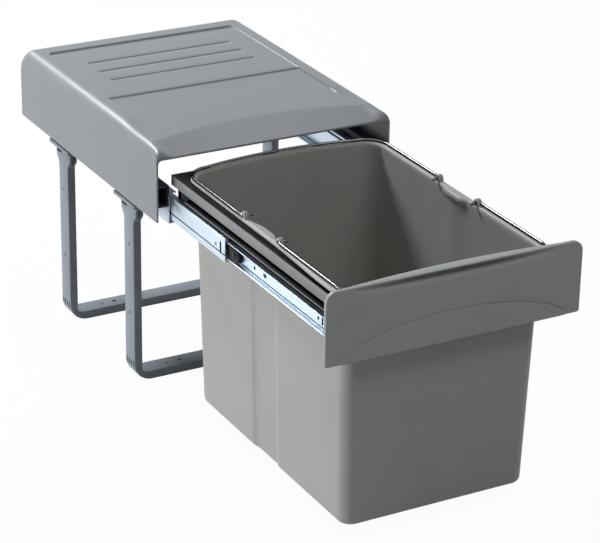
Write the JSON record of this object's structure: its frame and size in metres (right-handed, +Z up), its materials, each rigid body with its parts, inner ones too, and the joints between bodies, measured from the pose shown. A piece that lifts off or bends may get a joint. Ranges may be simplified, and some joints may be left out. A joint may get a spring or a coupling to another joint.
{
  "type": "built-in pull-out waste bin",
  "caption": "Pull-out waste bin for a base cabinet: fixed grey cover on two U-shaped floor frames, ball-bearing slides, carrier frame with front panel, and a lift-out bin with wire handles",
  "frame": {"origin": "middle of the bounding box on the cabinet floor, with the drawer fully pulled out", "axes": "+Z up, the drawer pulls out towards -Y, +X to the right as seen from the front"},
  "size_m": [0.36, 0.924, 0.378],
  "materials": {
    "cover_plastic": "fine-grained moulded grey",
    "frame_plastic": "moulded blue-grey, faint mould lines",
    "carrier_plastic": "moulded dark grey",
    "panel_plastic": "moulded dark grey, satin",
    "bin_plastic": "smooth moulded warm grey, slight sheen",
    "black_plastic": "black moulded",
    "black_rail": "black coated steel",
    "zinc_steel": "bright zinc-plated rolled steel",
    "ball_steel": "polished balls in a pressed steel cage",
    "screw_steel": "zinc-plated",
    "chrome_wire": "chrome-plated round wire"
  },
  "bodies": {
    "base": {"cover": "cover_plastic", "front_floor_frame": "frame_plastic", "rear_floor_frame": "frame_plastic", "left_side_rail": "black_rail", "left_outer_slide": "zinc_steel", "left_rear_buffer": "black_plastic", "left_rail_screw_1": "screw_steel", "left_rail_screw_2": "screw_steel", "left_rail_screw_3": "screw_steel", "right_side_rail": "black_rail", "right_outer_slide": "zinc_steel", "right_rear_buffer": "black_plastic", "right_rail_screw_1": "screw_steel", "right_rail_screw_2": "screw_steel", "right_rail_screw_3": "screw_steel", "front_frame_screw_1": "screw_steel", "front_frame_screw_2": "screw_steel", "rear_frame_screw_1": "screw_steel", "rear_frame_screw_2": "screw_steel"},
    "carriage": {"carrier_frame": "carrier_plastic", "front_panel": "panel_plastic", "left_inner_slide": "zinc_steel", "left_lever_pin": "screw_steel", "left_carrier_screw_1": "screw_steel", "left_carrier_screw_2": "screw_steel", "right_inner_slide": "zinc_steel", "right_lever_pin": "screw_steel", "right_carrier_screw_1": "screw_steel", "right_carrier_screw_2": "screw_steel", "panel_screw_1": "screw_steel", "panel_screw_2": "screw_steel", "panel_screw_3": "screw_steel", "panel_screw_4": "screw_steel"},
    "bin": {"waste_bin": "bin_plastic"},
    "rear_handle": {"rear_bail": "chrome_wire"},
    "front_handle": {"front_bail": "chrome_wire"},
    "left_intermediate": {"left_intermediate_slide": "zinc_steel"},
    "left_outer_cage": {"left_outer_ball_cage": "ball_steel"},
    "left_inner_cage": {"left_inner_ball_cage": "ball_steel"},
    "left_lever": {"left_release_lever": "black_plastic"},
    "right_intermediate": {"right_intermediate_slide": "zinc_steel"},
    "right_outer_cage": {"right_outer_ball_cage": "ball_steel"},
    "right_inner_cage": {"right_inner_ball_cage": "ball_steel"},
    "right_lever": {"right_release_lever": "black_plastic"}
  },
  "joints": [
    {"name": "drawer_slide", "type": "slide", "parent": "base", "child": "carriage", "axis": [0, -1, 0], "range_m": [-0.4507, 0]},
    {"name": "left_intermediate_slide", "type": "slide", "parent": "base", "child": "left_intermediate", "axis": [0, -1, 0], "range_m": [-0.1605, 0]},
    {"name": "left_outer_cage_slide", "type": "slide", "parent": "base", "child": "left_outer_cage", "axis": [0, -1, 0], "range_m": [-0.0808, 0]},
    {"name": "left_inner_cage_slide", "type": "slide", "parent": "base", "child": "left_inner_cage", "axis": [0, -1, 0], "range_m": [-0.3061, 0]},
    {"name": "right_intermediate_slide", "type": "slide", "parent": "base", "child": "right_intermediate", "axis": [0, -1, 0], "range_m": [-0.1605, 0]},
    {"name": "right_outer_cage_slide", "type": "slide", "parent": "base", "child": "right_outer_cage", "axis": [0, -1, 0], "range_m": [-0.0808, 0]},
    {"name": "right_inner_cage_slide", "type": "slide", "parent": "base", "child": "right_inner_cage", "axis": [0, -1, 0], "range_m": [-0.3061, 0]},
    {"name": "bin_lift", "type": "slide", "parent": "carriage", "child": "bin", "axis": [0, 0, 1], "range_m": [0, 0.34]},
    {"name": "rear_bail_hinge", "type": "hinge", "parent": "bin", "child": "rear_handle", "pos_m": [0, -0.18403, 0.3503], "axis": [1, 0, 0], "range_deg": [0, 105]},
    {"name": "front_bail_hinge", "type": "hinge", "parent": "bin", "child": "front_handle", "pos_m": [0, -0.27803, 0.3503], "axis": [-1, 0, 0], "range_deg": [0, 105]},
    {"name": "left_lever_hinge", "type": "hinge", "parent": "carriage", "child": "left_lever", "pos_m": [-0.149, -0.1715, 0.2929], "axis": [1, 0, 0], "range_deg": [0, 4], "stiffness_Nm_per_rad": 0.5},
    {"name": "right_lever_hinge", "type": "hinge", "parent": "carriage", "child": "right_lever", "pos_m": [0.149, -0.1715, 0.2929], "axis": [-1, 0, 0], "range_deg": [0, 4], "stiffness_Nm_per_rad": 0.5}
  ],
  "couplings": [
    {"joint": "left_intermediate_slide", "follows": "drawer_slide", "ratio": 0.354},
    {"joint": "left_outer_cage_slide", "follows": "drawer_slide", "ratio": 0.177},
    {"joint": "left_inner_cage_slide", "follows": "drawer_slide", "ratio": 0.677},
    {"joint": "right_intermediate_slide", "follows": "drawer_slide", "ratio": 0.354},
    {"joint": "right_outer_cage_slide", "follows": "drawer_slide", "ratio": 0.177},
    {"joint": "right_inner_cage_slide", "follows": "drawer_slide", "ratio": 0.677}
  ]
}
